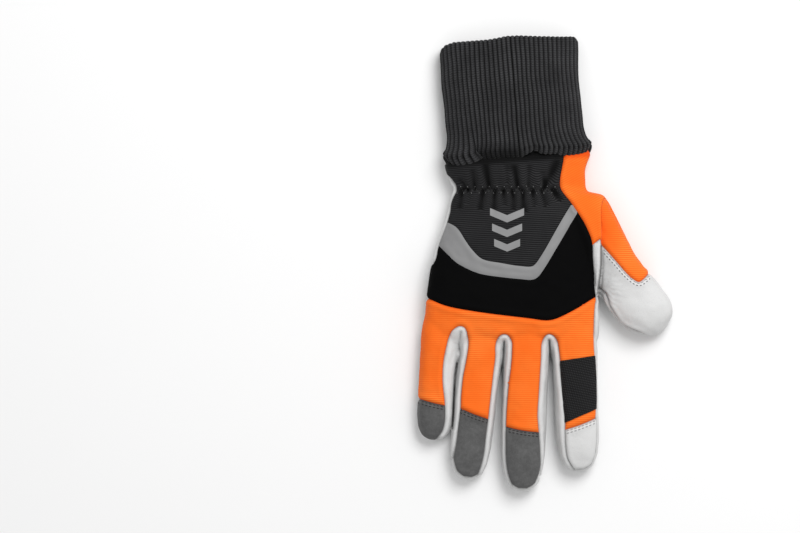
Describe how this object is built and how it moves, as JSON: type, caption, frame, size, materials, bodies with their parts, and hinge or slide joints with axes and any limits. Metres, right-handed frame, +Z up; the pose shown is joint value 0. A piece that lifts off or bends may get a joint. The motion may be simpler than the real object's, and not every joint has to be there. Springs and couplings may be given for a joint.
{
  "type": "chainsaw glove",
  "caption": "Right-hand work glove with a ribbed knit cuff, leather palm and tips, cloth back panels and a reflective band, lying on its palm.",
  "frame": {"origin": "On the ground, on the flat face of the quilted pad at the base of the thumb, near the middle of the glove", "axes": "+Z up out of the back of the hand, -Y towards the fingertips, +X towards the thumb"},
  "size_m": [0.1622, 0.2872, 0.028],
  "materials": {
    "rib_knit": "matte rib knit, charcoal",
    "ribbed_cloth": "matte cloth with fine cross ribs, near black",
    "reflective_cloth": "satin grey reflective cloth",
    "guard_cloth": "matte black smooth cloth",
    "orange_cloth": "matte bright orange cloth with fine cross ribs",
    "white_leather": "smooth white grain leather",
    "grey_suede": "napped grey suede",
    "mesh_patch": "black woven patch with a dashed relief",
    "rubber": "matte dark grey moulded rubber"
  },
  "bodies": {
    "root": {"cuff": "rib_knit", "cuff_tab": "grey_suede", "tab_inset": "rubber", "wrist_panel": "ribbed_cloth", "reflective_band": "reflective_cloth", "guard_panel": "guard_cloth", "finger_backs": "orange_cloth", "thumb_side": "orange_cloth", "thumb_tip": "white_leather", "fingertip_index": "white_leather", "fingertip_middle": "grey_suede", "fingertip_ring": "grey_suede", "fingertip_little": "grey_suede", "side_strip_little_ring": "white_leather", "side_strip_ring_middle": "white_leather", "side_strip_middle_index": "white_leather", "index_patch": "mesh_patch", "palm_leather": "white_leather"}
  },
  "joints": []
}
